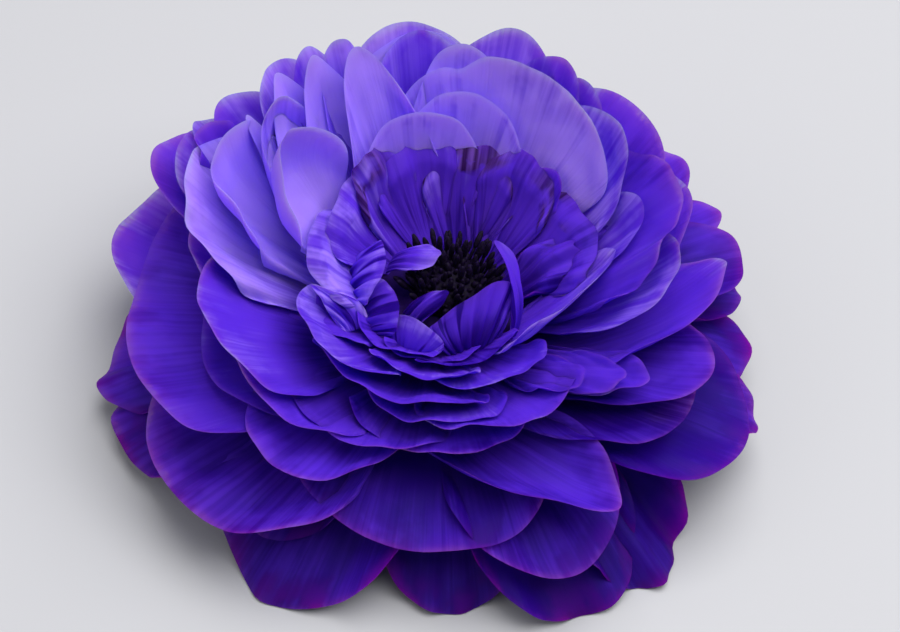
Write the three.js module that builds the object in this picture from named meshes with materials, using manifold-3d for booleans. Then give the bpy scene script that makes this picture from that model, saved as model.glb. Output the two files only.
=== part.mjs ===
// A ranunculus bloom, picked with a short stub of its stalk. Millimetres, +Z up.
// The flower's axis is vertical. It rests on the drooping tips of its lowest petals, which the
// surface at z = 0 presses flat. Azimuth 0 is +X, 90 is the back (+Y) and 270 is the front.
import * as THREE from 'three';
import { mergeVertices } from 'three/addons/utils/BufferGeometryUtils.js';
import Module from 'manifold-3d';

const wasm = await Module();
wasm.setup();

// ---------------------------------------------------------------- driving dimensions

const AXIS = { x: 1.82, y: -0.54 };         // the flower's axis, from the middle of its outline
const BLADE = 0.7;                         // thickness of a petal
const GAP = 0.3;                           // clearance between the green, violet and dark pieces
const LARGE = { reach: 24, rows: 3, columns: 5 };   // panels along and across a petal of this reach
const SMALL = { rows: 2, columns: 4 };              // and of a shorter one
const FAN = { across: 0.64, along: 0.42 };          // how the lines of a blade bend on their way to the rim
const MIDRIB_HANDLE = 0.38;                         // how stiffly its length keeps its end directions

// What every petal has unless its layer or its own row says otherwise. Angles are in degrees.
const PETAL = {
  rootRadius: 5.5, rootHeight: 12,   // where it leaves the receptacle
  bow: 0,                            // how far its length arches upwards, at either end
  flick: 0,                          // how much further its tip turns down
  cup: 25, tipCup: 20,               // how far its sides fold up, near the root and near the tip
  claw: 2.4,                         // half its width at the root
  widest: 0.62,                      // where it is widest, as a share of its length
  sweep: 112,                        // how far round the rim runs, on each side of the tip
  wave: 0.3, waves: 2.5,             // height and number of the ripples along the rim
  side: 0,                           // how far its tip leans along the ring
};

// Each petal is [azimuth, reach of its tip from the axis, height of its tip, width].
const LAYERS = {
  guard: {
    shape: { rootRadius: 5.5, rootHeight: 12, bow: 28, cup: 12, tipCup: 5, wave: 0.6, waves: 3 },
    petals: [
      [195, 48, 3, 34],
      [241, 43.5, -0.6, 25],
      [279, 38, -0.8, 19],
      [301, 41.5, -0.8, 22],
      [320, 43, -0.6, 23],
      [353, 45.5, 6, 11],
      [7.5, 45, 6, 16],
      [22, 45.5, 8, 15],
      [37, 45, 6, 15],
      [60, 42, -0.6, 23],
      [92, 41, -0.8, 23],
      [124, 42, -0.8, 23],
      [156, 43, 0.5, 23],
    ],
  },
  skirt: {
    shape: { rootRadius: 6, rootHeight: 13.5, bow: 16, cup: 18, tipCup: 10, wave: 0.4 },
    petals: [
      [190, 43.5, 13, 34],
      [219, 41, 11, 30],
      [266, 34.5, 11, 30],
      [300, 39.5, 9, 22],
      [343, 45, 11, 27],
      [21, 45, 15, 20],
      [42, 43, 23, 20],
      [70, 40, 22, 24],
      [101, 39, 22, 24],
      [142, 41, 34, 16],
      [167, 50, 19, 26],
    ],
  },
  lower: {
    shape: { rootRadius: 6.5, rootHeight: 15, bow: 5, cup: 25, tipCup: 20 },
    petals: [
      [202, 34.5, 20, 26],
      [238.5, 35, 20, 23],
      [250, 29, 25, 26],
      [297, 34.5, 20, 28, { flick: 30 }],
      [331, 37, 22, 18],
      [348, 38.5, 25, 21],
      [14, 32.5, 37, 18],
      [45, 36, 37, 26],
      [64, 32, 42, 14],
      [134, 36, 42, 24],
      [156, 44, 31, 20],
    ],
  },
  rim: {
    shape: { rootRadius: 7, rootHeight: 17, bow: -10, cup: 35, tipCup: 30 },
    petals: [
      [202, 34, 32.5, 24],
      [222, 31, 30, 24],
      [255, 25, 28.5, 24],
      [290, 25.5, 27.5, 24],
      [316, 31, 27, 18],
      [334, 32.5, 28.5, 14],
      [5, 38, 29, 16],
      [78, 29.5, 46, 22],
      [106, 32, 44, 22],
      [161, 36.5, 39, 24],
    ],
  },
  bowl: {
    shape: { rootRadius: 7.5, rootHeight: 19, bow: -15, cup: 45, tipCup: 35, wave: 0.2 },
    petals: [
      [36, 29, 43, 22],
      [57, 25, 45, 20],
      [92, 25.5, 46, 22],
      [121, 29, 46.5, 11],
      [137, 26.2, 46, 9],
      [156, 25, 41, 17],
      [17, 27.5, 37, 11],
      [226, 21, 30, 18],
      [275, 18.5, 28, 18],
      [345, 26, 29.5, 16],
    ],
  },
  cup: {
    shape: { rootRadius: 8, rootHeight: 21, bow: -15, cup: 50, tipCup: 50, claw: 1.6, wave: 0.2 },
    petals: [
      [86, 21, 41, 17],
      [107, 18.6, 39.5, 14],
      [132, 15.5, 36, 9],
      [166, 17.5, 35.5, 17],
      [62, 20, 36, 11],
      [42, 20, 33, 8],
      [5, 20, 32, 15],
      [202, 17.7, 31, 8],
      [243, 14, 29, 10],
      [285, 14, 28, 12],
    ],
  },
  heart: {
    shape: { rootRadius: 9, rootHeight: 21, bow: -45, cup: 40, tipCup: 40, claw: 1.4, wave: 0 },
    petals: [
      [178, 8, 31, 9],
      [206, 8.5, 30, 9],
      [172, 2, 31, 6, { cup: 20, tipCup: 20 }],
      [306, 5.7, 29.5, 11, { bow: -25 }],
      [325, 4.8, 31, 4.5, { side: 5, bow: -25 }],
    ],
  },
};

// The receptacle with the packed lower ends of the petals round it: [radius, height], from its
// underside to the floor of the heart. Its brim stands higher at the back, where the bowl is tall.
const RECEPTACLE = [
  [0, 10], [6, 10], [14, 10.4], [19, 11.5], [21, 14], [20.5, 18], [18, 21.5], [13, 21.8], [10.4, 21.5], [0, 21.6],
];
const BRIM = { radius: 12, height: 21.6, backRise: 8 };

// The heart: a dark dome of carpels with stamens that stand out of it in rings of
// [radius, lean outwards in degrees, count].
const HEART = { x: 0.6, y: 1.4, radius: 4.8, height: 3.4, floor: 21.6 + GAP };
const STAMENS = { rings: [[2.2, 10, 9], [3.6, 26, 14], [4.4, 46, 18]], foot: 1.2, length: 4.2, width: 0.9, anther: 1.2 };

// The green underside: five sepals folded back, and the cut end of the stalk.
const STALK = { radius: 2.4, cutHeight: 2.2 };
const CALYX = { radius: 4.6, top: 10 - GAP, bottom: 7.6 };
const SEPALS = { count: 5, first: 40 };
const SEPAL = {
  ...PETAL,
  rootRadius: 2.5, rootHeight: 8.7, reach: 15, top: 4.5, width: 8, claw: 2, widest: 0.5,
  bow: 25, cup: 20, tipCup: 10, wave: 0, phase: 0,
};

// ---------------------------------------------------------------- shapes

const radians = THREE.MathUtils.degToRad;

// A closed solid from a geometry whose shared corners are merged.
function solid(geometry) {
  const bare = geometry.clone();
  bare.deleteAttribute('normal');
  bare.deleteAttribute('uv');
  const merged = mergeVertices(bare, 1e-4);
  return new wasm.Manifold(new wasm.Mesh({
    numProp: 3,
    vertProperties: new Float32Array(merged.attributes.position.array),
    triVerts: new Uint32Array(merged.index.array),
  }));
}

function fuse(solids) {
  return solids.reduce((whole, piece) => whole.add(piece));
}

// The largest connected body of a solid, without the loose scraps that a cut leaves.
function largestBody(whole) {
  const bodies = whole.decompose();
  bodies.sort((a, b) => b.volume() - a.volume());
  return bodies[0];
}

function mesh(name, body, color, roughness) {
  const { vertProperties, triVerts } = body.getMesh();
  const geometry = new THREE.BufferGeometry();
  geometry.setAttribute('position', new THREE.BufferAttribute(new Float32Array(vertProperties), 3));
  geometry.setIndex(new THREE.BufferAttribute(new Uint32Array(triVerts), 1));
  geometry.computeVertexNormals();
  const piece = new THREE.Mesh(geometry, new THREE.MeshStandardMaterial({ color, roughness, metalness: 0 }));
  piece.name = name;
  return piece;
}

// A solid turned about the vertical, from [radius, height] corners that start and end on the axis.
function turned(profile, sides) {
  const points = profile.map(([radius, height]) => new THREE.Vector2(radius, height));
  return solid(new THREE.LatheGeometry(points, sides).rotateX(Math.PI / 2));
}

// The middle surface of a petal, at s from its root (0) to its rim (1) and t from one edge (-1)
// to the other (1). The outline fans out flat, its length follows a curve that leaves the
// receptacle, and its width is rolled up into a cup.
function petalPoint(petal, s, t) {
  const halfWidth = petal.width / 2;
  const round = t * radians(petal.sweep);
  const rimAcross = halfWidth * Math.sin(round);
  const rimAlong = petal.widest + (1 - petal.widest) * Math.cos(round);
  const bend = 2 * s * (1 - s);
  const across = (1 - s) ** 2 * petal.claw * t + bend * FAN.across * rimAcross + s * s * rimAcross;
  const along = bend * FAN.along * rimAlong + s * s * rimAlong;

  const root = new THREE.Vector2(petal.rootRadius, petal.rootHeight);
  const tip = new THREE.Vector2(petal.reach, petal.top);
  const chord = tip.clone().sub(root);
  const slope = Math.atan2(chord.x, chord.y);
  const stiffness = MIDRIB_HANDLE * chord.length();
  const handle = (angle) => new THREE.Vector2(Math.sin(angle), Math.cos(angle)).multiplyScalar(stiffness);
  const leave = handle(slope - radians(petal.bow)).add(root);
  const arrive = tip.clone().sub(handle(slope + radians(petal.bow + petal.flick)));
  const midrib = new THREE.CubicBezierCurve(root, leave, arrive, tip);
  const place = midrib.getPoint(along);
  const heading = midrib.getTangent(along);

  const fold = radians(petal.cup * (1 - along) + petal.tipCup * along);
  const angle = fold * across / halfWidth;
  const ripple = petal.wave * s * s * Math.sin(petal.waves * Math.PI * t + petal.phase);
  const sideways = halfWidth / fold * Math.sin(angle) + petal.side * along * along;
  const raised = halfWidth / fold * (1 - Math.cos(angle)) + ripple;
  const radius = place.x - raised * heading.y;
  const height = place.y + raised * heading.x;
  const azimuth = radians(petal.azimuth);
  return new THREE.Vector3(
    radius * Math.cos(azimuth) - sideways * Math.sin(azimuth),
    radius * Math.sin(azimuth) + sideways * Math.cos(azimuth),
    height,
  );
}

// Across the blade, at the same place.
function petalNormal(petal, s, t) {
  const step = 1e-3;
  const near = (value) => Math.min(Math.max(value, -1), 1);
  const s0 = Math.max(s - step, 0);
  const s1 = Math.min(s + step, 1);
  const along = petalPoint(petal, s1, t).sub(petalPoint(petal, s0, t));
  const across = petalPoint(petal, s, near(t + step)).sub(petalPoint(petal, s, near(t - step)));
  return along.cross(across).normalize();
}

// One petal as a closed blade. Both faces are split into the same triangles, so they never cross.
function petalSolid(petal) {
  const { rows, columns } = petal.reach >= LARGE.reach ? LARGE : SMALL;
  const positions = [];
  for (const side of [0.5, -0.5]) {
    for (let i = 0; i <= rows; i += 1) {
      for (let j = 0; j <= columns; j += 1) {
        const s = i / rows;
        const t = 2 * j / columns - 1;
        const corner = petalPoint(petal, s, t).addScaledVector(petalNormal(petal, s, t), side * BLADE);
        positions.push(...corner);
      }
    }
  }
  const faceCorners = (rows + 1) * (columns + 1);
  const at = (i, j) => i * (columns + 1) + j;
  const upper = [];
  for (let i = 0; i < rows; i += 1) {
    for (let j = 0; j < columns; j += 1) {
      const [a, b, c, d] = [at(i, j), at(i + 1, j), at(i + 1, j + 1), at(i, j + 1)];
      upper.push([a, b, c], [a, c, d]);
    }
  }
  const lower = upper.map(([a, b, c]) => [a, c, b].map((corner) => corner + faceCorners));
  const triangles = [...upper, ...lower];
  const edge = [];
  for (let i = 0; i < rows; i += 1) edge.push(at(i, 0));
  for (let j = 0; j < columns; j += 1) edge.push(at(rows, j));
  for (let i = rows; i > 0; i -= 1) edge.push(at(i, columns));
  for (let j = columns; j > 0; j -= 1) edge.push(at(0, j));
  edge.forEach((corner, k) => {
    const next = edge[(k + 1) % edge.length];
    triangles.push([next, corner, corner + faceCorners], [next, corner + faceCorners, next + faceCorners]);
  });
  const geometry = new THREE.BufferGeometry();
  geometry.setAttribute('position', new THREE.Float32BufferAttribute(positions, 3));
  geometry.setIndex(triangles.flat());
  return solid(geometry);
}

// ---------------------------------------------------------------- the petals and their receptacle

function receptacle() {
  const points = RECEPTACLE.map(([radius, height]) => new THREE.Vector2(radius, height));
  const geometry = new THREE.LatheGeometry(points, 24).rotateX(Math.PI / 2);
  const corners = geometry.attributes.position;
  for (let k = 0; k < corners.count; k += 1) {
    const [x, y, z] = [corners.getX(k), corners.getY(k), corners.getZ(k)];
    const inBrim = Math.hypot(x, y) > BRIM.radius && z > BRIM.height;
    if (inBrim) corners.setZ(k, z + BRIM.backRise * Math.max(0, y) / Math.hypot(x, y));
  }
  return solid(geometry);
}

const GOLDEN_ANGLE = radians(137.5);       // spreads the ripples, so that no two rims wave alike

function layerPetals({ shape, petals }) {
  return petals.map(([azimuth, reach, top, width, own], index) => petalSolid({
    ...PETAL, ...shape, azimuth, reach, top, width, phase: index * GOLDEN_ANGLE, ...own,
  }));
}

function surfaceBelow() {
  const depth = 20;
  return solid(new THREE.BoxGeometry(200, 200, depth).translate(0, 0, -depth / 2));
}

const petals = largestBody(
  fuse([receptacle(), ...Object.values(LAYERS).flatMap(layerPetals)]).subtract(surfaceBelow()),
);

// ---------------------------------------------------------------- the dark heart

// A stamen: a four-sided filament that widens into its anther and closes to a point.
function stamenSolid(azimuth, radius, lean) {
  const { foot, length, width, anther } = STAMENS;
  const out = new THREE.Vector3(Math.cos(azimuth), Math.sin(azimuth), 0);
  const across = new THREE.Vector3(-out.y, out.x, 0);
  const direction = out.clone().multiplyScalar(Math.sin(lean)).setZ(Math.cos(lean));
  const facing = new THREE.Vector3().crossVectors(direction, across);
  const start = out.clone().multiplyScalar(radius).setZ(foot);
  const sections = [[0, width], [0.55, width], [0.8, anther]];
  const positions = [];
  for (const [share, size] of sections) {
    const middle = start.clone().addScaledVector(direction, share * length);
    for (const [u, v] of [[1, 0], [0, 1], [-1, 0], [0, -1]]) {
      const corner = middle.clone().addScaledVector(across, u * size / 2);
      positions.push(...corner.addScaledVector(facing, v * size / 2));
    }
  }
  positions.push(...start.clone().addScaledVector(direction, length));
  const triangles = [0, 2, 1, 0, 3, 2];
  const last = 4 * (sections.length - 1);
  for (let ring = 0; ring < last; ring += 4) {
    for (let k = 0; k < 4; k += 1) {
      const [a, b] = [ring + k, ring + (k + 1) % 4];
      triangles.push(a, b, b + 4, a, b + 4, a + 4);
    }
  }
  for (let k = 0; k < 4; k += 1) triangles.push(last + k, last + (k + 1) % 4, last + 4);
  const geometry = new THREE.BufferGeometry();
  geometry.setAttribute('position', new THREE.Float32BufferAttribute(positions, 3));
  geometry.setIndex(triangles);
  return solid(geometry);
}

function heart() {
  const { radius, height } = HEART;
  const dome = [
    [0, 0], [radius, 0], [radius, 0.4 * height], [0.8 * radius, 0.75 * height], [0.45 * radius, height],
    [0, 1.05 * height],
  ];
  const pieces = [turned(dome, 16)];
  STAMENS.rings.forEach(([from, lean, count], ring) => {
    for (let k = 0; k < count; k += 1) {
      const azimuth = 2 * Math.PI * (k + 0.3 * ring) / count;
      pieces.push(stamenSolid(azimuth, from, radians(lean)));
    }
  });
  return fuse(pieces).translate([HEART.x, HEART.y, HEART.floor]);
}

// ---------------------------------------------------------------- the green underside

function calyx() {
  const { radius, top, bottom } = CALYX;
  const cup = [[0, bottom], [STALK.radius, bottom], [0.9 * radius, 0.5 * (top + bottom)], [radius, top], [0, top]];
  const sunk = top - GAP;
  const stalk = [[0, STALK.cutHeight], [STALK.radius, STALK.cutHeight], [0.9 * STALK.radius, sunk], [0, sunk]];
  const pieces = [turned(cup, 16), turned(stalk, 12)];
  for (let k = 0; k < SEPALS.count; k += 1) {
    pieces.push(petalSolid({ ...SEPAL, azimuth: SEPALS.first + 360 * k / SEPALS.count }));
  }
  return fuse(pieces);
}

// ---------------------------------------------------------------- the flower

const flower = new THREE.Group();
flower.add(
  mesh('petals', petals, 0x5a3fd0, 0.6),
  mesh('stamens', heart(), 0x120818, 0.7),
  mesh('calyx', calyx(), 0x5c7a34, 0.65),
);
flower.position.set(AXIS.x, AXIS.y, 0);

export default flower;
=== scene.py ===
# %% [markdown]
# # A ranunculus bloom
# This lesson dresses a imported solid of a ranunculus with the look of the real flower. The solid holds
# the main shapes: about seventy thick petals on one receptacle, a dark heart, and a green calyx
# underneath. Here every petal becomes a thin, curved, rippled sheet with veins, and the heart gets its
# stamens and carpels.
#
# Millimetres are easier to think in for a flower, so the tables below use them, and the meshes are
# turned into Blender's metres as they are made.

# %% Frame
import bpy
import math
import numpy as np
from mathutils import Matrix, Vector


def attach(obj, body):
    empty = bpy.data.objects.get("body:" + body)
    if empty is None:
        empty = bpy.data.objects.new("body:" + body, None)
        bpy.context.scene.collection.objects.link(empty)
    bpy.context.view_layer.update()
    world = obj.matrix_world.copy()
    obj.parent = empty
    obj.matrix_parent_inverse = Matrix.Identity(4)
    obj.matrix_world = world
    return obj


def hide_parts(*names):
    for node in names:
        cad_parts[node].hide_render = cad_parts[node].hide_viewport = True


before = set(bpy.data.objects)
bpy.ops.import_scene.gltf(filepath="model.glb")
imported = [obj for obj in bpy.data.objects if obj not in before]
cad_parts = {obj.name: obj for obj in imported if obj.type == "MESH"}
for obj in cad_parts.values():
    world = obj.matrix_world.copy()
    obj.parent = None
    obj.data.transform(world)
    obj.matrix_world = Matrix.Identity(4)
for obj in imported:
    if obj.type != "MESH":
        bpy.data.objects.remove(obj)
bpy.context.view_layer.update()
MM = 0.001
AXIS = (1.82, -0.54)          # the flower's axis, from the middle of its outline

# %% [markdown]
# ## How a petal is shaped
# A ranunculus petal is a fan: a narrow claw at the root, straight veins that spread from it, and a
# broad round rim. It could be sculpted by hand, but a hundred petals that differ only a little ask for
# a rule. The rule takes a place on the fan, `s` from the root to the rim and `t` from one edge to the
# other, and bends it in three steps. The fan is first drawn flat. Then its length follows a curve that
# leaves the receptacle. Last, its width is rolled into a cup, and the rim gets ripples and a curl. The
# finished petal can still be turned about its root, as far as its place among the others asks.

# %% What every petal has unless its layer or its own row says otherwise
PETAL = {
    "root_radius": 5.5, "root_height": 12,   # where it leaves the receptacle
    "root_side": 0,                          # how far round the ring its root is moved
    "bow": 0,                                # degrees: how far its length arches upwards, at either end
    "cup": 25, "tip_cup": 20,                # degrees: how far its sides fold up, at the root and the tip
    "claw": 2.4,                             # half its width at the root
    "widest": 0.62,                          # where it is widest, as a share of its length
    "sweep": 112,                            # degrees: how far round the rim runs, on each side of the tip
    "wave": 0.5, "waves": 2.5,               # height and number of the ripples along the rim
    "side": 0,                               # how far its tip leans along the ring
    "twist": 0,                              # degrees: how far its tip turns about its own length
    "yaw": 0,                                # degrees: how far it is turned to one side, about its root
    "curl": 0.0,                             # how far the rim rolls back, or in if it is negative
    "curl_from": 0.75,                       # where that roll begins
    "flute": 0.15, "flutes": 5,              # depth and number of the folds along its length
    "crumple": 0.3,                          # depth of the shallow dents all over it
    "ragged": 0.010,                         # how uneven its outline is
    "notch": 0.0, "notch_at": 0.0,           # depth and place of a nick in the rim
    "point": 0.0,                            # how far the tip is drawn out
    "wither": 0.0,                           # how much of the rim has dried
    "tone": 0.0,                             # lighter or darker than its layer: partly its own tone, partly painted light and shade
    "margin": 0.0, "hem": 0.03,              # painted highlights on its two edges and along its rim
}
FAN = {"across": 0.64, "along": 0.42}        # how the lines of a blade bend on their way to the rim
MIDRIB_HANDLE = 0.38                         # how stiffly its length keeps its end directions
NOTCH_WIDTH, POINT_WIDTH = 0.07, 0.2         # how broad a nick and a drawn-out tip are, as shares of a side
OVERTONE, OVERTONE_PACE = 0.35, 2.3          # smaller, quicker ripples that ride on those of the rim
FOLDS_END = 0.9                              # where the folds along a petal stop fading, short of the rim
BROAD_DENTS = (0.50, 0.42)                   # how closely the broad dents follow each other, both ways
SMALL_DENTS = 0.45                           # how deep the small ones are beside them
print(len(PETAL), "values describe a petal, besides its azimuth, reach, top and width")


# %% The flat fan and the curve of its length
def bezier(p0, p1, p2, p3, u):
    """Points at the shares u of a curve in the plane, and the way the curve heads there."""
    point = ((1 - u) ** 3 * p0[:, None] + 3 * u * (1 - u) ** 2 * p1[:, None]
             + 3 * u * u * (1 - u) * p2[:, None] + u ** 3 * p3[:, None])
    heading = (3 * (1 - u) ** 2 * (p1 - p0)[:, None] + 6 * u * (1 - u) * (p2 - p1)[:, None]
               + 3 * u * u * (p3 - p2)[:, None])
    return point, heading / np.linalg.norm(heading, axis=0)


def flat_fan(p, s, t):
    """How far along a petal and across it a place lies while the petal is still flat."""
    uneven = 1 + p["ragged"] * (np.sin(5 * t + p["phase"]) + 0.6 * np.sin(11 * t + 2 * p["phase"]))
    turn = t * math.radians(p["sweep"])
    rim_across = p["width"] / 2 * np.sin(turn) * uneven
    rim_along = (p["widest"] + (1 - p["widest"]) * np.cos(turn)) * uneven
    rim_along = rim_along - p["notch"] * np.exp(-((t - p["notch_at"]) / NOTCH_WIDTH) ** 2)
    rim_along = rim_along + p["point"] * np.exp(-(t / POINT_WIDTH) ** 2)
    bend = 2 * s * (1 - s)
    across = (1 - s) ** 2 * p["claw"] * t + (bend * FAN["across"] + s * s) * rim_across
    along = (bend * FAN["along"] + s * s) * rim_along
    return along, across


def midrib(p, along):
    """The curve of a petal's length: distance from the axis and height, and the way it heads."""
    root = np.array([p["root_radius"], p["root_height"]], float)
    tip = np.array([p["reach"], p["top"]], float)
    chord = tip - root
    slope = math.atan2(chord[0], chord[1])
    stiffness = MIDRIB_HANDLE * np.linalg.norm(chord)
    leave = slope - math.radians(p["bow"])
    arrive = slope + math.radians(p["bow"])
    p1 = root + stiffness * np.array([math.sin(leave), math.cos(leave)])
    p2 = tip - stiffness * np.array([math.sin(arrive), math.cos(arrive)])
    place, heading = bezier(root, p1, p2, tip, along.ravel())
    return place.reshape(2, *along.shape), heading.reshape(2, *along.shape)


# %% From the fan to a petal in its place
def dents(p, s, across):
    """Shallow dents that no two petals share, deeper towards the rim."""
    length = s * math.hypot(p["reach"] - p["root_radius"], p["top"] - p["root_height"])
    turned = [p["phase"] * factor for factor in (3, 5, 7, 11)]
    broad = np.sin(BROAD_DENTS[0] * across + turned[0]) * np.sin(BROAD_DENTS[1] * length + turned[1])
    one_way = np.sin(1.1 * across + 0.5 * length + turned[2])
    other_way = np.sin(0.9 * length - 0.4 * across + turned[3])
    return p["crumple"] * s * (broad + SMALL_DENTS * (one_way * other_way))


def petal_points(p, s, t):
    """Places on the middle surface of petal p, in millimetres from the flower's axis."""
    along, across = flat_fan(p, s, t)
    place, heading = midrib(p, along)
    half = p["width"] / 2
    phase = p["phase"]
    fold = np.radians(p["cup"] * (1 - along) + p["tip_cup"] * along)
    angle = fold * across / half
    sideways = half / fold * np.sin(angle)
    raised = half / fold * (1 - np.cos(angle))
    overtone = OVERTONE * np.sin(OVERTONE_PACE * p["waves"] * math.pi * t + 2 * phase)
    ripple = np.sin(p["waves"] * math.pi * t + phase) + overtone
    folds = np.sin(math.pi * np.clip(s, 0, FOLDS_END)) * np.cos(p["flutes"] * math.pi * t + 1.7 * phase)
    rolled = np.clip((s - p["curl_from"]) / (1 - p["curl_from"]), 0, 1)
    raised = raised + p["wave"] * s * s * ripple + p["flute"] * folds
    raised = raised - p["curl"] * rolled ** 2 * (1 - t ** 4)
    raised = raised + dents(p, s, across)
    tilt = math.radians(p["twist"]) * along
    sideways, raised = (sideways * np.cos(tilt) - raised * np.sin(tilt),
                        sideways * np.sin(tilt) + raised * np.cos(tilt))
    sideways = sideways + p["side"] * along ** 2 + p["root_side"] * (1 - along)
    out = place[0] - raised * heading[1] - p["root_radius"]
    height = place[1] + raised * heading[0]
    yaw = math.radians(p["yaw"])
    radius = p["root_radius"] + out * math.cos(yaw) - sideways * math.sin(yaw)
    sideways = out * math.sin(yaw) + sideways * math.cos(yaw)
    azimuth = math.radians(p["azimuth"])
    return np.stack([
        radius * math.cos(azimuth) - sideways * math.sin(azimuth),
        radius * math.sin(azimuth) + sideways * math.cos(azimuth),
        height,
    ], axis=-1)
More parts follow.
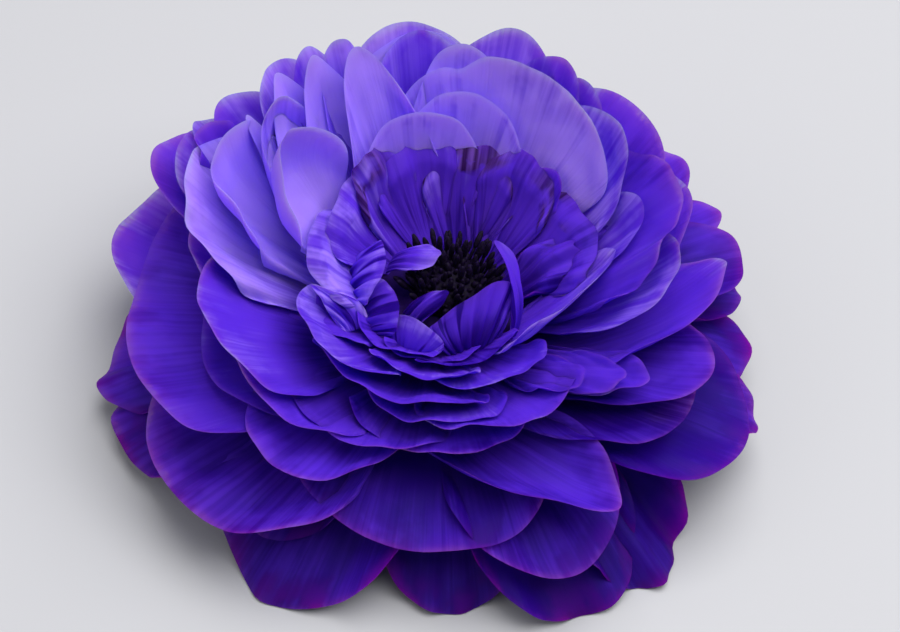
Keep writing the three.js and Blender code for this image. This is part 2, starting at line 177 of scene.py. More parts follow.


# %% [markdown]
# ## The layers
# The petals sit in rings, and each ring bends in its own way: the guard petals droop to the surface,
# the skirt spreads, the rims and the bowl stand up, the cup closes round the heart, and the last small
# petals fold over it. A row holds four measures of a petal: its azimuth (0 is +X, 90 the back, 270 the
# front), how far its tip reaches from the axis, how high the tip is, and its width. Many azimuths and
# reaches began as places picked in the photograph. The rows were then adjusted, and those of the
# petals that it hides are guesses.

# %% The table of petals: azimuth, reach, top, width, and what is particular to this one
DRY_TIP = {"wither": 1.5, "curl": 3.2, "curl_from": 0.7, "wave": 0.9, "waves": 3.5}
DRY_RIM = {"cup": 26, "tip_cup": 26, "wither": 1.8, "curl": 2.0, "curl_from": 0.84, "wave": 0.7,
           "waves": 3.5}
# the petals that fold over the cup are painted paler, with a stronger painted highlight along their rims
OVER_CUP = {"root_radius": 10.4, "root_height": 19.5, "cup": 20, "tip_cup": 24, "yaw": 0, "twist": 0,
            "tone": 0.36, "hem": 0.12}
# A layer's tone is painted shade: the lower a layer lies, the darker it is painted. A petal's own tone often
# paints light or shade onto it as well.
LAYERS = {
    "guard": {
        "blush": 0.5,
        "shape": {"root_radius": 6.5, "root_height": 11, "bow": 28, "cup": 12, "tip_cup": 5, "wave": 0.7,
                  "waves": 3.5, "curl": -1.0},
        "tone": 0.08,
        "petals": [
            [187, 46.8, 4, 22, {"wave": 1.1}],
            [200.5, 45.2, 3, 28, {"wave": 1.1}],
            [228, 37, 3, 22], [240.5, 41.4, -0.5, 28], [278, 36.5, -0.5, 21], [303, 42, -0.5, 24],
            [320, 42.6, -0.4, 22, {"wave": 1.3, "waves": 4}],
            [353, 45.5, 6, 14], [8, 43.8, 6, 20], [20, 43.7, 10, 16], [36, 44, 8, 18],
            [58, 42, -0.5, 24], [82, 40.5, -0.5, 24], [106, 40.5, -0.5, 24], [130, 42, -0.5, 24],
            [154, 43, 2, 24],
        ],
    },
    "skirt": {
        "blush": 0.15,
        "shape": {"root_radius": 7.2, "root_height": 12.2, "bow": 16, "cup": 18, "tip_cup": 8,
                  "wave": 0.45, "curl": -1.6, "curl_from": 0.7},
        "tone": 0.18,
        "petals": [
            [184.5, 43, 16, 45], [219.5, 43.6, 9, 35],
            [266, 35, 11, 34, {"side": 1.5}],
            [300, 40, 9, 24, {"cup": 5}],
            [343, 44.6, 11.5, 26, {"tone": -0.08}],
            [20.5, 44.6, 16, 17], [33, 44.4, 15, 13], [40, 41.5, 24, 18], [72, 40, 24, 24],
            [98, 39, 24, 24], [125, 40, 26, 22],
            [142, 40, 29, 16, {"cup": 6}],
            [155, 47, 23, 18],
            [162.5, 48.6, 14, 27, {"root_height": 11, "bow": 2, "widest": 0.72, "cup": 8, "tone": 0.12}],
        ],
    },
    "lower": {
        "shape": {"root_radius": 8.4, "root_height": 13.8, "bow": 5, "cup": 25, "tip_cup": 18,
                  "curl": -0.8},
        "tone": 0.33,
        "petals": [
            [202, 34.5, 20, 26], [234.5, 35.8, 20, 22],
            [243, 29, 23, 25, {"cup": 15}],
            [272, 26.8, 22, 25],
            [294, 36.5, 17, 20, {"side": 9, "root_side": -4, "widest": 0.45, "point": 0.05,
                                 "curl": -2.2}],
            [338, 37.2, 18.5, 25, {"tone": -0.08, "widest": 0.45, "wither": 0.7}],
            [346.5, 38.3, 22.5, 20, {"tone": -0.08, "widest": 0.5}],
            [26, 36, 31.5, 22],
            [20, 32.5, 37.5, 24, {"wave": 1.0, "waves": 4}],
            [47, 35.5, 36, 28], [137, 37, 39.5, 15], [130, 35, 40, 12], [147, 40, 34, 16],
            [151, 42, 31, 12], [157, 42, 30, 18],
            [175, 36, 27.5, 22, {"cup": 12, "tip_cup": 12}],
        ],
    },
    "rim": {
        "shape": {"root_radius": 9, "root_height": 16.2, "bow": -10, "cup": 28, "tip_cup": 25},
        "tone": 0.50,
        "petals": [
            [202, 34.5, 31.6, 26, {"tone": -0.14, "cup": 14, "tip_cup": 14, "crumple": 0.12}],
            [219, 32, 26, 26, {"tone": -0.18, "cup": 12, "tip_cup": 12, "crumple": 0.12}],
            [252, 22.8, 28.5, 26], [270, 24.3, 26.5, 20],
            [296, 26, 27, 24, {"tone": 0.06}],
            [320, 25, 27, 8], [329, 29, 27, 8], [334, 31.3, 26, 9],
            [345.5, 36, 28.5, 18, {"side": 12}],
            [57, 31.3, 40, 13, {"tone": -0.1}],
            [64.5, 30.8, 43, 13, {"tone": -0.1}],
            [78, 31.5, 43, 20, {"point": 0.015}],
            [103, 30.2, 43.5, 18],
            [105, 32.8, 43, 22, {"cup": 12, "tip_cup": 12}],
            [125, 31.6, 44, 10],
            [158, 38, 36.6, 16, {"tone": -0.1, "cup": 8, "bow": -22, "wave": 0.9, "waves": 4}],
            [166, 37.2, 36, 26, {"tone": 0.15, "wave": 0.8, "waves": 3.5}],
        ],
    },
    "bowl": {
        "stripes": 0.15,
        "shape": {"root_radius": 9.3, "root_height": 19, "bow": -15, "cup": 34, "tip_cup": 30,
                  "wave": 0.3},
        "tone": 0.84,
        "petals": [
            [70, 24.8, 45.3, 32, {"root_radius": 10.6, "cup": 18, "notch": 0.05, "notch_at": 0.3}],
            [91, 27, 44.4, 13, {"root_radius": 11, "cup": 12, "tone": 0.05}],
            [103, 31.4, 42.6, 20, {"cup": 25, "tip_cup": 8, "tone": 0.1}],
            [113, 26.6, 43.6, 16, {"cup": 30, "tip_cup": 115, "side": 4.3, "root_side": 2,
                                   "point": 0.06, "widest": 0.5, "tone": -0.10, "margin": 0.40}],
            [133, 29.5, 42, 12, {"root_radius": 10.5, "cup": 10, "tip_cup": 30, "point": 0.08,
                                 "widest": 0.5, "tone": 0.12}],
            [141, 31.5, 40.2, 12, {"root_radius": 10.5, "cup": 10, "tip_cup": 20, "point": 0.08,
                                   "widest": 0.5, "tone": 0.08}],
            [149, 33.5, 40, 13, {"root_radius": 11, "root_height": 17, "curl": -4, "curl_from": 0.7,
                                 "cup": 8, "tone": -0.20}],
            [153, 30.8, 37, 7, {"root_radius": 10, "root_height": 18, "point": 0.1, "cup": 8,
                                "tone": 0.2}],
            [158.5, 29.8, 39.5, 15, {"curl": -6, "curl_from": 0.76, "cup": 28, "tip_cup": 30,
                                     "bow": -8, "tone": 0.10}],
            [162, 36, 38, 18, {"root_radius": 9, "curl": -3, "wave": 1.0, "cup": 30, "tone": -0.05}],
            [42.5, 28.5, 41, 18, {"tone": -0.2}],
            [19, 27, 36, 11, {"tone": -0.24}],
            [4.5, 31.5, 33.5, 18, {"tone": -0.24}],
            [330, 18.5, 31.5, 18, {"side": 11}],
            [222, 22.5, 30.5, 20, {"margin": 0.2, "tone": -0.26}],
            [262, 18, 28, 16, {"tone": -0.22}],
            [298, 19, 27, 18, {"tone": -0.22}],
        ],
    },
    "cup": {
        "stripes": 0.25,
        "shape": {"root_radius": 8, "root_height": 21, "bow": -15, "cup": 35, "tip_cup": 35,
                  "claw": 2.0, "wave": 0.3, "flute": 0.05, "crumple": 0.1, "yaw": 7, "twist": 2},
        "tone": 0.40,
        "petals": [
            [88, 21.2, 41.2, 17, OVER_CUP],
            [107.5, 18.6, 40.2, 17, dict(OVER_CUP, twist=-6)],
            [103, 16.4, 35.4, 15, DRY_RIM],
            [78, 16.4, 34.4, 14, DRY_RIM],
            [55, 17.6, 35.2, 13, DRY_RIM],
            [43, 19.8, 34.5, 7, {"root_radius": 9.6}],
            [27, 18.8, 32.4, 20, DRY_RIM],
            [136, 16.6, 33, 20, dict(DRY_RIM, wave=0.35)],
            [124, 17, 35.8, 11, DRY_RIM],
            [171, 17.6, 31.6, 17, dict(DRY_RIM, wave=0.3, waves=2.5, wither=0.5, tone=0.06)],
            [13, 22.8, 32, 8, DRY_TIP],
            [12, 15.6, 31, 8, DRY_TIP],
            [204, 18.8, 26.3, 12], [234, 14, 25.5, 14], [262, 13, 24.6, 14], [288, 13.8, 25.5, 16],
        ],
    },
    "heart": {
        "stripes": 1.0,
        "shape": {"root_radius": 12, "root_height": 21, "bow": -55, "cup": 40, "tip_cup": 40,
                  "claw": 1.6, "wave": 0.2, "curl": 0.4},
        "tone": 0.50,
        "petals": [
            [181, 8.3, 30, 11.5, {"flute": 0.35, "flutes": 7}],
            [206, 7.8, 27.4, 10.5, {"side": 1, "flute": 0.3, "flutes": 7}],
            [165, 1.0, 30.6, 5.2, {"root_radius": 9, "root_height": 25, "bow": -30, "cup": 25}],
            [214, 10.2, 29.4, 4.8, {"root_radius": 13.4, "root_height": 24, "yaw": 88, "side": -3.2,
                                    "point": 0.22, "widest": 0.35, "bow": 10, "cup": 20,
                                    "tip_cup": 25, "tone": 0.25}],
            [232, 3.0, 29, 3.6, {"root_radius": 9, "side": 3, "bow": -30, "cup": 20}],
            [296, 5.8, 29.5, 13.5, {"root_radius": 10.5, "side": 3.2, "point": 0.1, "bow": -30,
                                    "ragged": 0.05, "flute": 0.3, "flutes": 9}],
            [345, 6.6, 31, 4.6, {"root_radius": 9, "root_height": 19, "root_side": -4, "side": 3.7,
                                 "bow": -70, "point": 0.1}],
            [246, 8.4, 27, 10, {"root_radius": 11, "bow": -30}],
        ],
    },
}
print("petals in each layer:", {layer: len(ring["petals"]) for layer, ring in LAYERS.items()})


# %% Petals from the table
PAINTED_LIGHT_SIDE = math.radians(140)  # the side of the flower where painted light makes the petals paler
PAINTED_LIGHT_GAIN = 0.17               # how much paler the painted light makes them there
TONE_SPREAD = 0.05            # how much lighter or darker a petal may be than the next one
NESTING = 0.12                # a petal that reaches further grows from lower and further out
GOLDEN_ANGLE = math.radians(137.5)
ROWS, COLUMNS = 30, 56        # how finely a petal is divided
RIM_CROWDING = 0.85           # less than 1: the rows lie closer together towards the rim


def petals_of(layer):
    """The full description of each petal of a layer, with its own seeded ripple."""
    described = []
    ring = LAYERS[layer]
    mean_reach = sum(row[1] for row in ring["petals"]) / len(ring["petals"])
    for index, (azimuth, reach, top, width, *own) in enumerate(ring["petals"]):
        petal = {**PETAL, **ring["shape"], "azimuth": azimuth, "reach": reach, "top": top,
                 "width": width, "phase": index * GOLDEN_ANGLE, "index": index}
        petal.update(own[0] if own else {})
        # painted light: petals on one side of the flower are painted paler
        petal["tone"] += PAINTED_LIGHT_GAIN * math.cos(math.radians(azimuth) - PAINTED_LIGHT_SIDE)
        petal["tone"] += TONE_SPREAD * math.sin(5 * petal["phase"])
        petal["root_radius"] += NESTING * (reach - mean_reach)
        petal["root_height"] -= NESTING * (reach - mean_reach)
        described.append(petal)
    return described


def sheet_grid(petal):
    """A grid of places on a petal, closer together near its rim, where it ripples most."""
    s = (np.linspace(0, 1, ROWS + 1) ** RIM_CROWDING)[:, None] * np.ones(COLUMNS + 1)
    t = np.linspace(-1, 1, COLUMNS + 1)[None, :] * np.ones((ROWS + 1, 1))
    return s, t, petal_points(petal, s, t)


widths = [petal["width"] for layer in LAYERS for petal in petals_of(layer)]
print(f"{len(widths)} petals in all, {min(widths)} to {max(widths)} mm wide")


# %% [markdown]
# ## From a sheet to a blade
# A petal is a fifth of a millimetre thick and thins to nothing at its rim. Solidify would give every
# rim a square wall that catches the light like cut plastic. So each sheet is doubled here by hand: one
# copy of the grid is moved out along the sheet's own normals, one copy in, and both meet in the
# same points along the rim. The rim is marked sharp, so the two faces are shaded apart.

# %% The two faces of a petal
BLADE = 0.20                  # thickness of a petal
THIN_RIM, THIN_SIDES, THIN_ROOT = 0.12, 0.10, 0.05    # how far in from each edge it is thinner


def thinning(s, t):
    """How thick a petal is at a place, as a share of its full thickness."""
    inside = np.minimum(np.minimum((1 - s) / THIN_RIM, (1 - np.abs(t)) / THIN_SIDES), s / THIN_ROOT)
    return np.sqrt(np.clip(inside, 0, 1))


def blade(places, s, t, thickness):
    """Corners and faces of a closed blade about a grid of places, and which corners are its rim."""
    ahead, aside = np.gradient(places, axis=0), np.gradient(places, axis=1)
    normals = np.cross(ahead, aside)
    normals /= np.maximum(np.linalg.norm(normals, axis=-1, keepdims=True), 1e-9)
    offset = normals * (thinning(s, t) * thickness / 2)[..., None]
    rows, columns = s.shape
    upper = np.arange(rows * columns).reshape(rows, columns)
    lower = upper.copy()
    inner = (rows - 2) * (columns - 2)
    lower[1:-1, 1:-1] = rows * columns + np.arange(inner).reshape(rows - 2, columns - 2)
    above = (places + offset).reshape(-1, 3)
    below = (places - offset)[1:-1, 1:-1].reshape(-1, 3)
    corners = np.concatenate([above, below])
    faces = []
    for side, order in ((upper, (0, 1, 2, 3)), (lower, (3, 2, 1, 0))):
        around = (side[:-1, :-1], side[1:, :-1], side[1:, 1:], side[:-1, 1:])
        faces.append(np.stack([around[k] for k in order], -1).reshape(-1, 4))
    rim = np.ones((rows, columns), bool)
    rim[1:-1, 1:-1] = False
    rim = np.concatenate([rim.ravel(), np.zeros(inner, bool)])
    return corners, np.concatenate(faces), rim


# %% [markdown]
# ## One mesh for each layer
# Each petal could be an object of its own, but a hundred objects are slow to work with. A layer is one
# mesh here. What the material needs to know of a place, such as how far it is from the root, is kept on
# the mesh as attributes, so the veins follow each petal however it bends.

# %% What every piece needs
def new_object(name, mesh, material):
    mesh.polygons.foreach_set("use_smooth", [True] * len(mesh.polygons))
    mesh.materials.append(material)
    piece = bpy.data.objects.new(name, mesh)
    bpy.context.scene.collection.objects.link(piece)
    return piece


def belongs(piece, node):
    """Every piece of the flower moves with its only body and stands for one of the solids."""
    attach(piece, "root")
    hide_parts(node)


# %% A layer of blades
LOWEST = 0.2                  # no petal reaches lower than this, just above what the flower lies on
GRAIN_LENGTH = 20             # how long the pattern of the veins is from root to rim
GRAIN_PETAL = 7.3             # how far that pattern moves on from one petal to the next
GRAIN_LETTER = 31             # and for each letter of the piece's name


def both_faces(values):
    """A value at each place of the grid, for the corners of the upper face and then the lower one."""
    inner = values[1:-1, 1:-1]
    return np.concatenate([values.reshape(values.shape[0] * values.shape[1], -1),
                           inner.reshape(inner.shape[0] * inner.shape[1], -1)])


def mark_rims(mesh, rim):
    """Mark the edges between two corners of the rim as sharp."""
    ends = np.empty(2 * len(mesh.edges), int)
    mesh.edges.foreach_get("vertices", ends)
    ends = ends.reshape(-1, 2)
    sharp = mesh.attributes.new("sharp_edge", "BOOLEAN", "EDGE")
    sharp.data.foreach_set("value", rim[ends[:, 0]] & rim[ends[:, 1]])


def sheet_piece(name, petals, material, thickness=BLADE):
    """One mesh of many petals, with where each point lies on its petal kept for the material."""
    corners, faces, rims = [], [], []
    values = {"along": [], "across": [], "wither": [], "tone": [], "margin": [], "hem": []}
    grain = []
    for petal in petals:
        s, t, places = sheet_grid(petal)
        places[..., 2] = np.maximum(places[..., 2], LOWEST)
        own_corners, own_faces, rim = blade(places, s, t, thickness)
        faces.append(own_faces + sum(len(part) for part in corners))
        corners.append(own_corners)
        rims.append(rim)
        values["along"].append(both_faces(s))
        values["across"].append(both_faces(t))
        for label in ("wither", "tone", "margin", "hem"):
            values[label].append(np.full(len(rim), petal[label]))
        seed = GRAIN_PETAL * petal["index"] + GRAIN_LETTER * len(name)
        lane = t * petal["width"] / 2
        grain.append(both_faces(np.stack([lane, s * GRAIN_LENGTH, np.full(s.shape, seed)], -1)))
    places = (np.concatenate(corners) + [AXIS[0], AXIS[1], 0]) * MM
    mesh = bpy.data.meshes.new(name)
    mesh.from_pydata(places.tolist(), [], np.concatenate(faces).tolist())
    for label, parts in values.items():
        flat = np.concatenate([part.ravel() for part in parts])
        mesh.attributes.new(label, "FLOAT", "POINT").data.foreach_set("value", flat)
    veins = mesh.attributes.new("grain", "FLOAT_VECTOR", "POINT")
    veins.data.foreach_set("vector", np.concatenate(grain).ravel())
    mark_rims(mesh, np.concatenate(rims))
    print(f"{name}: {len(petals)} petals, {len(mesh.polygons)} faces")
    return new_object(name, mesh, material)


# %% Small helpers to wire nodes
def add_node(tree, kind, inputs=None, **settings):
    """A new node with its settings, and each input linked to a socket or given a value."""
    node = tree.nodes.new(kind)
    for key, value in settings.items():
        setattr(node, key, value)
    for socket, value in (inputs or {}).items():
        if isinstance(value, bpy.types.NodeSocket):
            tree.links.new(value, node.inputs[socket])
        else:
            node.inputs[socket].default_value = value
    return node


class Nodes:
    """A material and short names for the nodes that it is made of."""
    def __init__(self, name):
        self.material = bpy.data.materials.new(name)
        self.material.use_nodes = True
        self.tree = self.material.node_tree
        self.shader = self.tree.nodes["Principled BSDF"]

    def add(self, kind, inputs=None, **settings):
        return add_node(self.tree, kind, inputs, **settings)

    def math(self, operation, a, b=0.0, c=0.0, clamp=False):
        return self.add("ShaderNodeMath", {0: a, 1: b, 2: c}, operation=operation, use_clamp=clamp).outputs[0]

    def ramp(self, value, low, high, to_low=0.0, to_high=1.0):
        """A value brought smoothly from low..high to to_low..to_high."""
        inputs = {"Value": value, "From Min": low, "From Max": high, "To Min": to_low, "To Max": to_high}
        return self.add("ShaderNodeMapRange", inputs, interpolation_type="SMOOTHSTEP").outputs[0]

    def mix(self, factor, a, b):
        node = self.add("ShaderNodeMix", {"Factor": factor}, data_type="RGBA")
        for socket, value in ((6, a), (7, b)):
            if isinstance(value, bpy.types.NodeSocket):
                self.tree.links.new(value, node.inputs[socket])
            else:
                node.inputs[socket].default_value = (*value, 1)
        return node.outputs[2]

    def noise(self, place, scale, detail=2.0, stretch=(1, 1, 1)):
        stretched = self.add("ShaderNodeMapping", {"Vector": place, "Scale": stretch}).outputs[0]
        inputs = {"Vector": stretched, "Scale": scale, "Detail": detail}
        return self.add("ShaderNodeTexNoise", inputs).outputs["Fac"]

    def attribute(self, name, output="Fac"):
        return self.add("ShaderNodeAttribute", attribute_name=name).outputs[output]

    def link(self, output, target):
        self.tree.links.new(output, target)

    def bump(self, height, strength, distance):
        inputs = {"Height": height, "Strength": strength, "Distance": distance}
        self.link(self.add("ShaderNodeBump", inputs).outputs[0], self.shader.inputs["Normal"])

    def surface(self, **values):
        """Set sockets of the shader by name, with _ for a space."""
        for label, value in values.items():
            self.shader.inputs[label.replace("_", " ")].default_value = value


# %% [markdown]
# ## Petal tissue
# A petal's colour lies in its thin skin: pale violet where the skin is puffed and catches light, deep
# indigo in the veins, and brown-purple where a rim has dried. Shade and light are painted in as well:
# the lower layers are painted darker, each petal is painted darker towards its claw where the petals
# above shade it, one side of the flower is painted paler, and pale edges and rim lines are painted
# highlights. A painted image could carry that, but a pattern in the petal's own directions needs no
# image and never repeats. Noise stretched along `grain` makes the veins, and slow noise makes the
# cloudy patches between them.

# %% The colours of the tissue
DEEP = (0.014, 0.0, 0.17)
VIOLET = (0.080, 0.018, 0.58)
LIGHT = (0.34, 0.20, 1.0)
MAGENTA = (0.085, 0.0, 0.25)
DRIED = (0.022, 0.002, 0.070)
DRY_VEIN = (0.12, 0.04, 0.38)
PATTERNS = {                  # detail of a pattern, and how fast it changes across and along a petal
    "veins": (5.0, 2.4, 0.05),
    "streaks": (3.0, 0.9, 0.07),
    "clouds": (2.0, 0.10, 0.07),
    "bands": (1.0, 1.1, 0.035),
    "patches": (3.0, 0.35, 0.25),
}
PALE = {                      # how much paler each thing makes a place
    "start": -0.36, "veins": 0.08, "streaks": 0.07, "clouds": 0.20, "rim": 0.34, "bands": -0.6,
    "patches": -0.16,
}


def petal_material(name, tone, blush, stripes):
    """Tissue for one layer: how pale its painted shade leaves it, how much magenta its rims have, how dark
    its stripes are.
    """
    n = Nodes(name)
    along = n.attribute("along")
    grain = n.attribute("grain", "Vector")
    veins, streaks, clouds, bands, patches = [
        n.noise(grain, 1.0, detail, (across, lengthwise, 1.0))
        for detail, across, lengthwise in PATTERNS.values()
    ]
    bands = n.ramp(bands, 0.50, 0.62)
    patchy = n.ramp(patches, 0.42, 0.62)
    rim = n.ramp(along, 0.72, 1.0)

    # the layer's tone: painted shade, darker the lower the layer lies
    pale = n.math("MULTIPLY_ADD", n.ramp(veins, 0.35, 0.65), PALE["veins"], tone + PALE["start"])
    pale = n.math("MULTIPLY_ADD", n.ramp(streaks, 0.3, 0.7), PALE["streaks"], pale)
    pale = n.math("MULTIPLY_ADD", n.ramp(clouds, 0.3, 0.7), PALE["clouds"], pale)
    # painted shade: each petal darker towards its claw, where the petals above shade it, and paler towards
    # its rim
    pale = n.math("MULTIPLY_ADD", n.ramp(along, 0.2, 1.0), PALE["rim"], pale)
    # each petal's own tone, with painted light and shade in it besides its random tone
    pale = n.math("ADD", pale, n.attribute("tone"))
    pale = n.math("MULTIPLY_ADD", bands, PALE["bands"] * stripes, pale)
    # painted highlight on the two edges, where light catches them
    edge = n.ramp(n.math("ABSOLUTE", n.attribute("across")), 0.62, 0.88)
    pale = n.math("MULTIPLY_ADD", edge, n.attribute("margin"), pale)
    # painted highlight: a pale line along the rim
    pale = n.math("MULTIPLY_ADD", n.ramp(along, 0.96, 1.0), n.attribute("hem"), pale)
    pale = n.math("MULTIPLY_ADD", n.math("MULTIPLY", rim, patchy), PALE["patches"], pale, clamp=True)
    color = n.mix(n.ramp(pale, 0.5, 1.0), n.mix(n.ramp(pale, 0.0, 0.5), DEEP, VIOLET), LIGHT)

    blushing = n.math("MULTIPLY", n.ramp(along, 0.84, 1.0), patchy)
    color = n.mix(n.math("MULTIPLY", blushing, blush), color, MAGENTA)
    crisp = n.ramp(n.math("MULTIPLY_ADD", patchy, 0.14, along), 0.92, 1.05)
    dried = n.math("MULTIPLY", crisp, n.ramp(clouds, 0.42, 0.6))
    dried = n.math("MULTIPLY", dried, n.attribute("wither"), clamp=True)
    dry_color = n.mix(n.ramp(veins, 0.35, 0.75), DRIED, DRY_VEIN)
    color = n.mix(dried, color, dry_color)
    n.link(color, n.shader.inputs["Base Color"])

    n.bump(n.math("MULTIPLY_ADD", streaks, 1.5, veins), 0.25, 0.0003)
    n.surface(Roughness=0.6, Specular_IOR_Level=0.08, Subsurface_Weight=0.5, Subsurface_Scale=0.002,
              Subsurface_Radius=(0.5, 0.3, 1.0))
    return n.material


# %% Every layer of petals
for layer, ring in LAYERS.items():
    tissue = petal_material(f"{layer}_tissue", ring["tone"], ring.get("blush", 0), ring.get("stripes", 0))
    belongs(sheet_piece(f"{layer}_petals", petals_of(layer), tissue), "petals")

# %% [markdown]
# ## The receptacle
# The petals grow from a fleshy cushion at the top of the stalk. Little of it shows, only the dark floor
# between the heart and the innermost petals, but without it one could look straight through the
# flower. It is round, so its outline is turned about the axis.


# %% Turned forms
def turned(name, outline, material, sides=48, centre=AXIS, ribs=(0, 0.0)):
    """A solid of revolution from an outline of (radius, height) that starts and ends on the axis."""
    count, depth = ribs
    places, faces = [], []
    inner = outline[1:-1]
    for radius, height in inner:
        for k in range(sides):
            turn = 2 * math.pi * k / sides
            r = radius * (1 + depth * math.cos(count * turn))
            places.append((centre[0] + r * math.cos(turn), centre[1] + r * math.sin(turn), height))
    for i in range(len(inner) - 1):
        for k in range(sides):
            after = (k + 1) % sides
            faces.append((i * sides + k, i * sides + after, (i + 1) * sides + after, (i + 1) * sides + k))
    bottom, top = len(places), len(places) + 1
    places += [(*centre, outline[0][1]), (*centre, outline[-1][1])]
    last = (len(inner) - 1) * sides
    for k in range(sides):
        after = (k + 1) % sides
        faces.append((bottom, after, k))
        faces.append((top, last + k, last + after))
    mesh = bpy.data.meshes.new(name)
    mesh.from_pydata([tuple(v * MM for v in place) for place in places], [], faces)
    print(f"{name}: {len(faces)} faces")
    return new_object(name, mesh, material)


# %% The fleshy cushion
CUSHION = ((0.006, 0.0, 0.03), (0.03, 0.004, 0.16))   # the two violets it is mottled with


def cushion_material():
    n = Nodes("receptacle_skin")
    place = n.add("ShaderNodeTexCoord").outputs["Object"]
    mottled = n.noise(place, 900.0, 3.0)
    n.link(n.mix(mottled, *CUSHION), n.shader.inputs["Base Color"])
    n.bump(mottled, 0.6, 0.0004)
    n.surface(Roughness=0.7, Specular_IOR_Level=0.15)
    return n.material


RECEPTACLE = [                # radius and height along its outline
    (0, 10.2), (4.5, 10.3), (7.5, 12), (9.2, 15), (10.6, 18.5), (11.2, 20.8), (10.4, 21.9), (0, 22.3),
]
belongs(turned("receptacle", RECEPTACLE, cushion_material()), "petals")

# %% [markdown]
# ## Stamens and carpels
# The heart is a low dome of carpels, each ending in a small beak, inside rings of stamens: thin
# filaments with dark anthers that lean outwards. They repeat dozens of times with small differences,
# so Geometry Nodes make them. One tree stands a shape on every point of a ring, and leans, turns and
# scales each copy a little, from a fixed seed. The ring's size, count and lean are inputs of the tree.


# %% A node tree that plants a ring of stems
TREE_INPUTS = {               # kind of each input, and what it is if nothing else is given
    "Count": ("NodeSocketInt", 12), "Ring radius": ("NodeSocketFloat", 3 * MM),
    "Lean": ("NodeSocketFloat", 0.5), "Stem length": ("NodeSocketFloat", 4 * MM),
    "Stem radius": ("NodeSocketFloat", 0.3 * MM), "Head radius": ("NodeSocketFloat", 0.5 * MM),
    "Head length": ("NodeSocketFloat", 1.2 * MM), "Seed": ("NodeSocketInt", 1),
}
SHAKE = (0.22, 0.22, 0.1)     # how much a stem may lean away from the others
SMALLEST, LARGEST = 0.75, 1.2  # how much the stems differ in size


def stem_ring_tree(material):
    tree = bpy.data.node_groups.new("stem_ring", "GeometryNodeTree")
    tree.interface.new_socket("Geometry", in_out="INPUT", socket_type="NodeSocketGeometry")
    tree.interface.new_socket("Geometry", in_out="OUTPUT", socket_type="NodeSocketGeometry")
    for name, (kind, value) in TREE_INPUTS.items():
        tree.interface.new_socket(name, in_out="INPUT", socket_type=kind).default_value = value

    def add(kind, inputs=None, **settings):
        return add_node(tree, kind, inputs, **settings)

    given = add("NodeGroupInput").outputs
    circle = add("GeometryNodeMeshCircle", {"Vertices": given["Count"], "Radius": given["Ring radius"]})
    place = add("GeometryNodeInputPosition").outputs[0]
    outward = add("ShaderNodeVectorMath", {0: place}, operation="NORMALIZE").outputs[0]
    leaning = add("ShaderNodeVectorMath", {0: outward, "Scale": given["Lean"]}, operation="SCALE").outputs[0]
    upright = add("ShaderNodeVectorMath", {0: leaning, 1: (0, 0, 1)}, operation="ADD").outputs[0]
    shake = {0: tuple(-v for v in SHAKE), 1: SHAKE, "Seed": given["Seed"]}
    unsettled = add("FunctionNodeRandomValue", shake, data_type="FLOAT_VECTOR").outputs[0]
    heading = add("ShaderNodeVectorMath", {0: upright, 1: unsettled}, operation="ADD").outputs[0]
    turn = add("FunctionNodeAlignRotationToVector", {"Vector": heading}, axis="Z").outputs[0]
    sizes = {2: SMALLEST, 3: LARGEST, "Seed": given["Seed"]}
    size = add("FunctionNodeRandomValue", sizes, data_type="FLOAT").outputs[1]

    stem = add("GeometryNodeMeshCone", {"Vertices": 6, "Side Segments": 2, "Radius Top": given["Stem radius"],
                                        "Radius Bottom": given["Stem radius"], "Depth": given["Stem length"]})
    head = add("GeometryNodeMeshUVSphere", {"Segments": 7, "Rings": 6, "Radius": 1.0})
    slim = add("ShaderNodeCombineXYZ", {0: given["Head radius"], 1: given["Head radius"],
                                        2: given["Head length"]}).outputs[0]
    lift = add("ShaderNodeCombineXYZ", {2: given["Stem length"]}).outputs[0]
    raised = add("GeometryNodeTransform", {"Geometry": head.outputs["Mesh"], "Translation": lift,
                                           "Scale": slim})
    whole = add("GeometryNodeJoinGeometry")
    tree.links.new(stem.outputs["Mesh"], whole.inputs[0])
    tree.links.new(raised.outputs[0], whole.inputs[0])
    copies = add("GeometryNodeInstanceOnPoints", {"Points": circle.outputs[0], "Instance": whole.outputs[0],
                                                  "Rotation": turn, "Scale": size})
    real = add("GeometryNodeRealizeInstances", {"Geometry": copies.outputs[0]})
    smooth = add("GeometryNodeSetShadeSmooth", {"Geometry": real.outputs[0]})
    dressed = add("GeometryNodeSetMaterial", {"Geometry": smooth.outputs[0], "Material": material})
    result = add("NodeGroupOutput")
    tree.links.new(dressed.outputs[0], result.inputs[0])
    return tree


# %% From a node tree to a plain mesh
def grown(tree, **sizes):
    """The mesh that a tree makes with the given inputs."""
    seedling = bpy.data.objects.new("seedling", bpy.data.meshes.new("seedling"))
    bpy.context.scene.collection.objects.link(seedling)
    modifier = seedling.modifiers.new("grow", "NODES")
    modifier.node_group = tree
    for item in tree.interface.items_tree:
        label = item.name.replace(" ", "_").lower()
        if item.in_out == "INPUT" and label in sizes:
            modifier[item.identifier] = sizes[label]
    evaluated = seedling.evaluated_get(bpy.context.evaluated_depsgraph_get())
    mesh = bpy.data.meshes.new_from_object(evaluated)
    seedling.modifiers.remove(modifier)
    bpy.data.objects.remove(seedling)
    return mesh


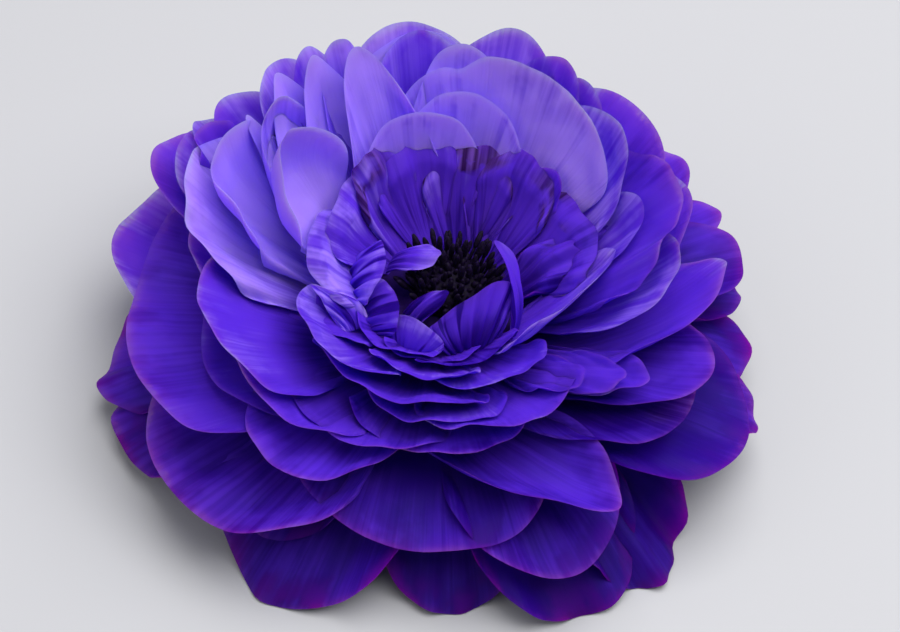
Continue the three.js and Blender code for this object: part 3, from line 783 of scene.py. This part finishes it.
def joined(name, meshes, shifts, material):
    """One piece from several plain meshes, each moved by its own shift in millimetres."""
    places, faces = [], []
    for mesh, shift in zip(meshes, shifts):
        first = len(places)
        places += [vertex.co + Vector(shift) * MM for vertex in mesh.vertices]
        faces += [tuple(first + corner for corner in face.vertices) for face in mesh.polygons]
    whole = bpy.data.meshes.new(name)
    whole.from_pydata([tuple(place) for place in places], [], faces)
    print(f"{name}: {len(faces)} faces")
    return new_object(name, whole, material)


# %% The skin of the heart
NEAR_BLACK = (0.002, 0.0, 0.006)


def heart_material(name, lit, fineness):
    n = Nodes(name)
    place = n.add("ShaderNodeTexCoord").outputs["Object"]
    grains = n.noise(place, fineness, 3.0)
    n.link(n.mix(n.ramp(grains, 0.35, 0.75), NEAR_BLACK, lit), n.shader.inputs["Base Color"])
    n.bump(grains, 0.5, 0.0002)
    n.surface(Roughness=0.7, Specular_IOR_Level=0.15)
    return n.material


stamen_skin = heart_material("anthers", (0.010, 0.002, 0.035), 2600.0)
stem_ring = stem_ring_tree(stamen_skin)

# %% The stamens
HEART = (AXIS[0] + 0.6, AXIS[1] + 1.4)        # the heart sits a little to the right and the back
HEART_FLOOR = 21.9


def planted(name, rings, sizes, material, first_seed):
    """A piece of stems in rings, from rows of radius, lean, stem length, count and height."""
    meshes, shifts = [], []
    for k, (radius, lean, length, count, height) in enumerate(rings):
        meshes.append(grown(stem_ring, count=count, ring_radius=radius * MM, lean=lean,
                            stem_length=length * MM, seed=first_seed + k, **sizes))
        shifts.append((*HEART, HEART_FLOOR + height))
    belongs(joined(name, meshes, shifts, material), "stamens")


STAMEN_RINGS = [
    (1.5, 0.06, 4.7, 8, 0.6),
    (2.6, 0.12, 4.5, 14, 0.6),
    (3.3, 0.28, 4.5, 20, 0.6),
    (3.9, 0.45, 4.3, 26, 0.6),
    (4.4, 0.62, 3.9, 28, 0.6),
]
ANTHER = {"stem_radius": 0.22 * MM, "head_radius": 0.40 * MM, "head_length": 1.35 * MM}
planted("stamens", STAMEN_RINGS, ANTHER, stamen_skin, 10)

# %% The dome of carpels
carpel_skin = heart_material("carpels", (0.008, 0.001, 0.030), 1800.0)
DOME = [(0, 0), (5.0, 0), (5.1, 1.2), (4.6, 2.4), (3.6, 3.3), (2.2, 3.9), (0.9, 4.15), (0, 4.2)]
dome = turned("carpel_dome", [(r, HEART_FLOOR + h) for r, h in DOME], carpel_skin, 32, HEART)
belongs(dome, "stamens")
CARPEL_RINGS = [
    (0.5, 0.15, 0.5, 3, 4.0),
    (1.3, 0.35, 0.5, 8, 3.9),
    (2.2, 0.6, 0.5, 13, 3.6),
    (3.1, 0.95, 0.5, 18, 3.1),
    (3.9, 1.5, 0.5, 22, 2.3),
]
BEAK = {"stem_radius": 0.34 * MM, "head_radius": 0.42 * MM, "head_length": 0.8 * MM}
planted("carpels", CARPEL_RINGS, BEAK, carpel_skin, 30)

# %% [markdown]
# ## The green underside
# Five sepals once held the bud. On an open bloom they fold back under the guard petals, and below them
# is the cut end of the stalk. The photograph hides them, so they follow what the species has: the
# sepals bend by the same rule as the petals, because a sepal is a leaf of the same make, only
# narrower, thicker and downy.


# %% Green skin
GREEN = (0.045, 0.11, 0.02)


def green_material(name, pale, ribbed):
    """Downy green with fibres, which are drawn out where ribbed is small in one direction."""
    n = Nodes(name)
    place = n.add("ShaderNodeTexCoord").outputs["Object"]
    fibres = n.noise(place, 500.0, 4.0, ribbed)
    n.link(n.mix(n.ramp(fibres, 0.3, 0.75), GREEN, pale), n.shader.inputs["Base Color"])
    n.bump(fibres, 0.5, 0.0003)
    n.surface(Roughness=0.65)
    return n.material


# %% Sepals, calyx and stalk
SEPAL = {**PETAL, "root_radius": 2.5, "root_height": 8.7, "reach": 15, "top": 4.5, "width": 8, "claw": 2,
         "widest": 0.5, "bow": 25, "cup": 20, "tip_cup": 10, "wave": 0.15, "point": 0.06}
SEPALS, FIRST_SEPAL = 5, 40   # how many, and the azimuth of the first
SEPAL_BLADE = 0.6
sepals = [{**SEPAL, "azimuth": FIRST_SEPAL + 360 / SEPALS * k, "phase": k * GOLDEN_ANGLE, "index": k}
          for k in range(SEPALS)]
leaf = green_material("sepal_skin", (0.16, 0.27, 0.07), (1, 1, 1))
belongs(sheet_piece("sepals", sepals, leaf, SEPAL_BLADE), "calyx")
stem_skin = green_material("stalk_skin", (0.14, 0.24, 0.06), (1, 1, 0.08))
CUP = [(0, 7.6), (2.4, 7.6), (3.6, 8.0), (4.4, 8.8), (4.6, 9.7), (0, 9.7)]
belongs(turned("calyx_cup", CUP, leaf, 40), "calyx")
STALK = [(0, 2.35), (0.8, 2.3), (0.9, 2.2), (2.3, 2.2), (2.4, 2.4), (2.3, 5), (2.2, 8), (2.2, 9.3), (0, 9.3)]
STALK_RIBS = (9, 0.02)        # how many, and how deep as a share of its radius
belongs(turned("stalk", STALK, stem_skin, ribs=STALK_RIBS), "calyx")

# %% [markdown]
# ## Camera
# The camera looks down on the flower from the front, slightly rolled, through a long lens, as the
# photograph does. A small shift frames the bloom.

# %% Camera
ELEVATION, ROLL, DISTANCE = math.radians(52), math.radians(5), 0.420
AIM = Vector((AXIS[0] * MM, AXIS[1] * MM, 26 * MM))
PHOTO_WIDTH = 900             # pixels
SHIFT = (4, -35)              # pixels: how far the view is moved to frame the bloom
forward = Vector((0, math.cos(ELEVATION), -math.sin(ELEVATION)))
level = Vector((1, 0, 0))
upright = level.cross(forward)
right = level * math.cos(ROLL) + upright * math.sin(ROLL)
up = upright * math.cos(ROLL) - level * math.sin(ROLL)
camera_data = bpy.data.cameras.new("camera")
camera_data.lens = 123.1
camera_data.sensor_width = 36
camera_data.shift_x = SHIFT[0] / PHOTO_WIDTH
camera_data.shift_y = SHIFT[1] / PHOTO_WIDTH
camera_data.clip_start = 0.01
camera = bpy.data.objects.new("camera", camera_data)
bpy.context.scene.collection.objects.link(camera)
turn = Matrix((right, up, -forward)).transposed().to_4x4()
camera.matrix_world = Matrix.Translation(AIM - DISTANCE * forward) @ turn
bpy.context.scene.camera = camera
print("camera at", [round(v / MM) for v in camera.matrix_world.translation], "mm")

# %% [markdown]
# ## Floor and light
# The floor is plain and pale. A large soft lamp high above the flower, to the right, makes the upper
# petals glow and leaves the lower ones in shade, and the lower layers are painted darker as well. A weak one
# at the front left keeps their form readable.

# %% Floor
REACH = 3                     # metres from the middle of the floor to its sides
floor_mesh = bpy.data.meshes.new("floor")
floor_corners = [(-REACH, -REACH, 0), (REACH, -REACH, 0), (REACH, REACH, 0), (-REACH, REACH, 0)]
floor_mesh.from_pydata(floor_corners, [], [(0, 1, 2, 3)])
paper = Nodes("pale_paper")
paper.surface(Base_Color=(0.50, 0.50, 0.52, 1), Roughness=0.8)
floor = new_object("floor", floor_mesh, paper.material)


# %% Light
def area_light(name, place, size, power):
    """A square lamp that faces the flower, in metres and watts."""
    data = bpy.data.lights.new(name, "AREA")
    data.size = size
    data.energy = power
    lamp = bpy.data.objects.new(name, data)
    bpy.context.scene.collection.objects.link(lamp)
    toward = AIM - Vector(place)
    lamp.matrix_world = Matrix.Translation(place) @ toward.to_track_quat("-Z", "Y").to_matrix().to_4x4()
    print(f"{name} light: {power} W")


area_light("key", place=(0.17, 0.06, 0.62), size=0.70, power=6.9)
area_light("fill", place=(-0.5, -0.3, 0.5), size=0.8, power=1.5)
world = bpy.data.worlds.new("studio")
world.use_nodes = True
world.node_tree.nodes["Background"].inputs["Color"].default_value = (0.9, 0.92, 1.0, 1)
world.node_tree.nodes["Background"].inputs["Strength"].default_value = 0.16
bpy.context.scene.world = world
bpy.context.scene.view_settings.view_transform = "Standard"
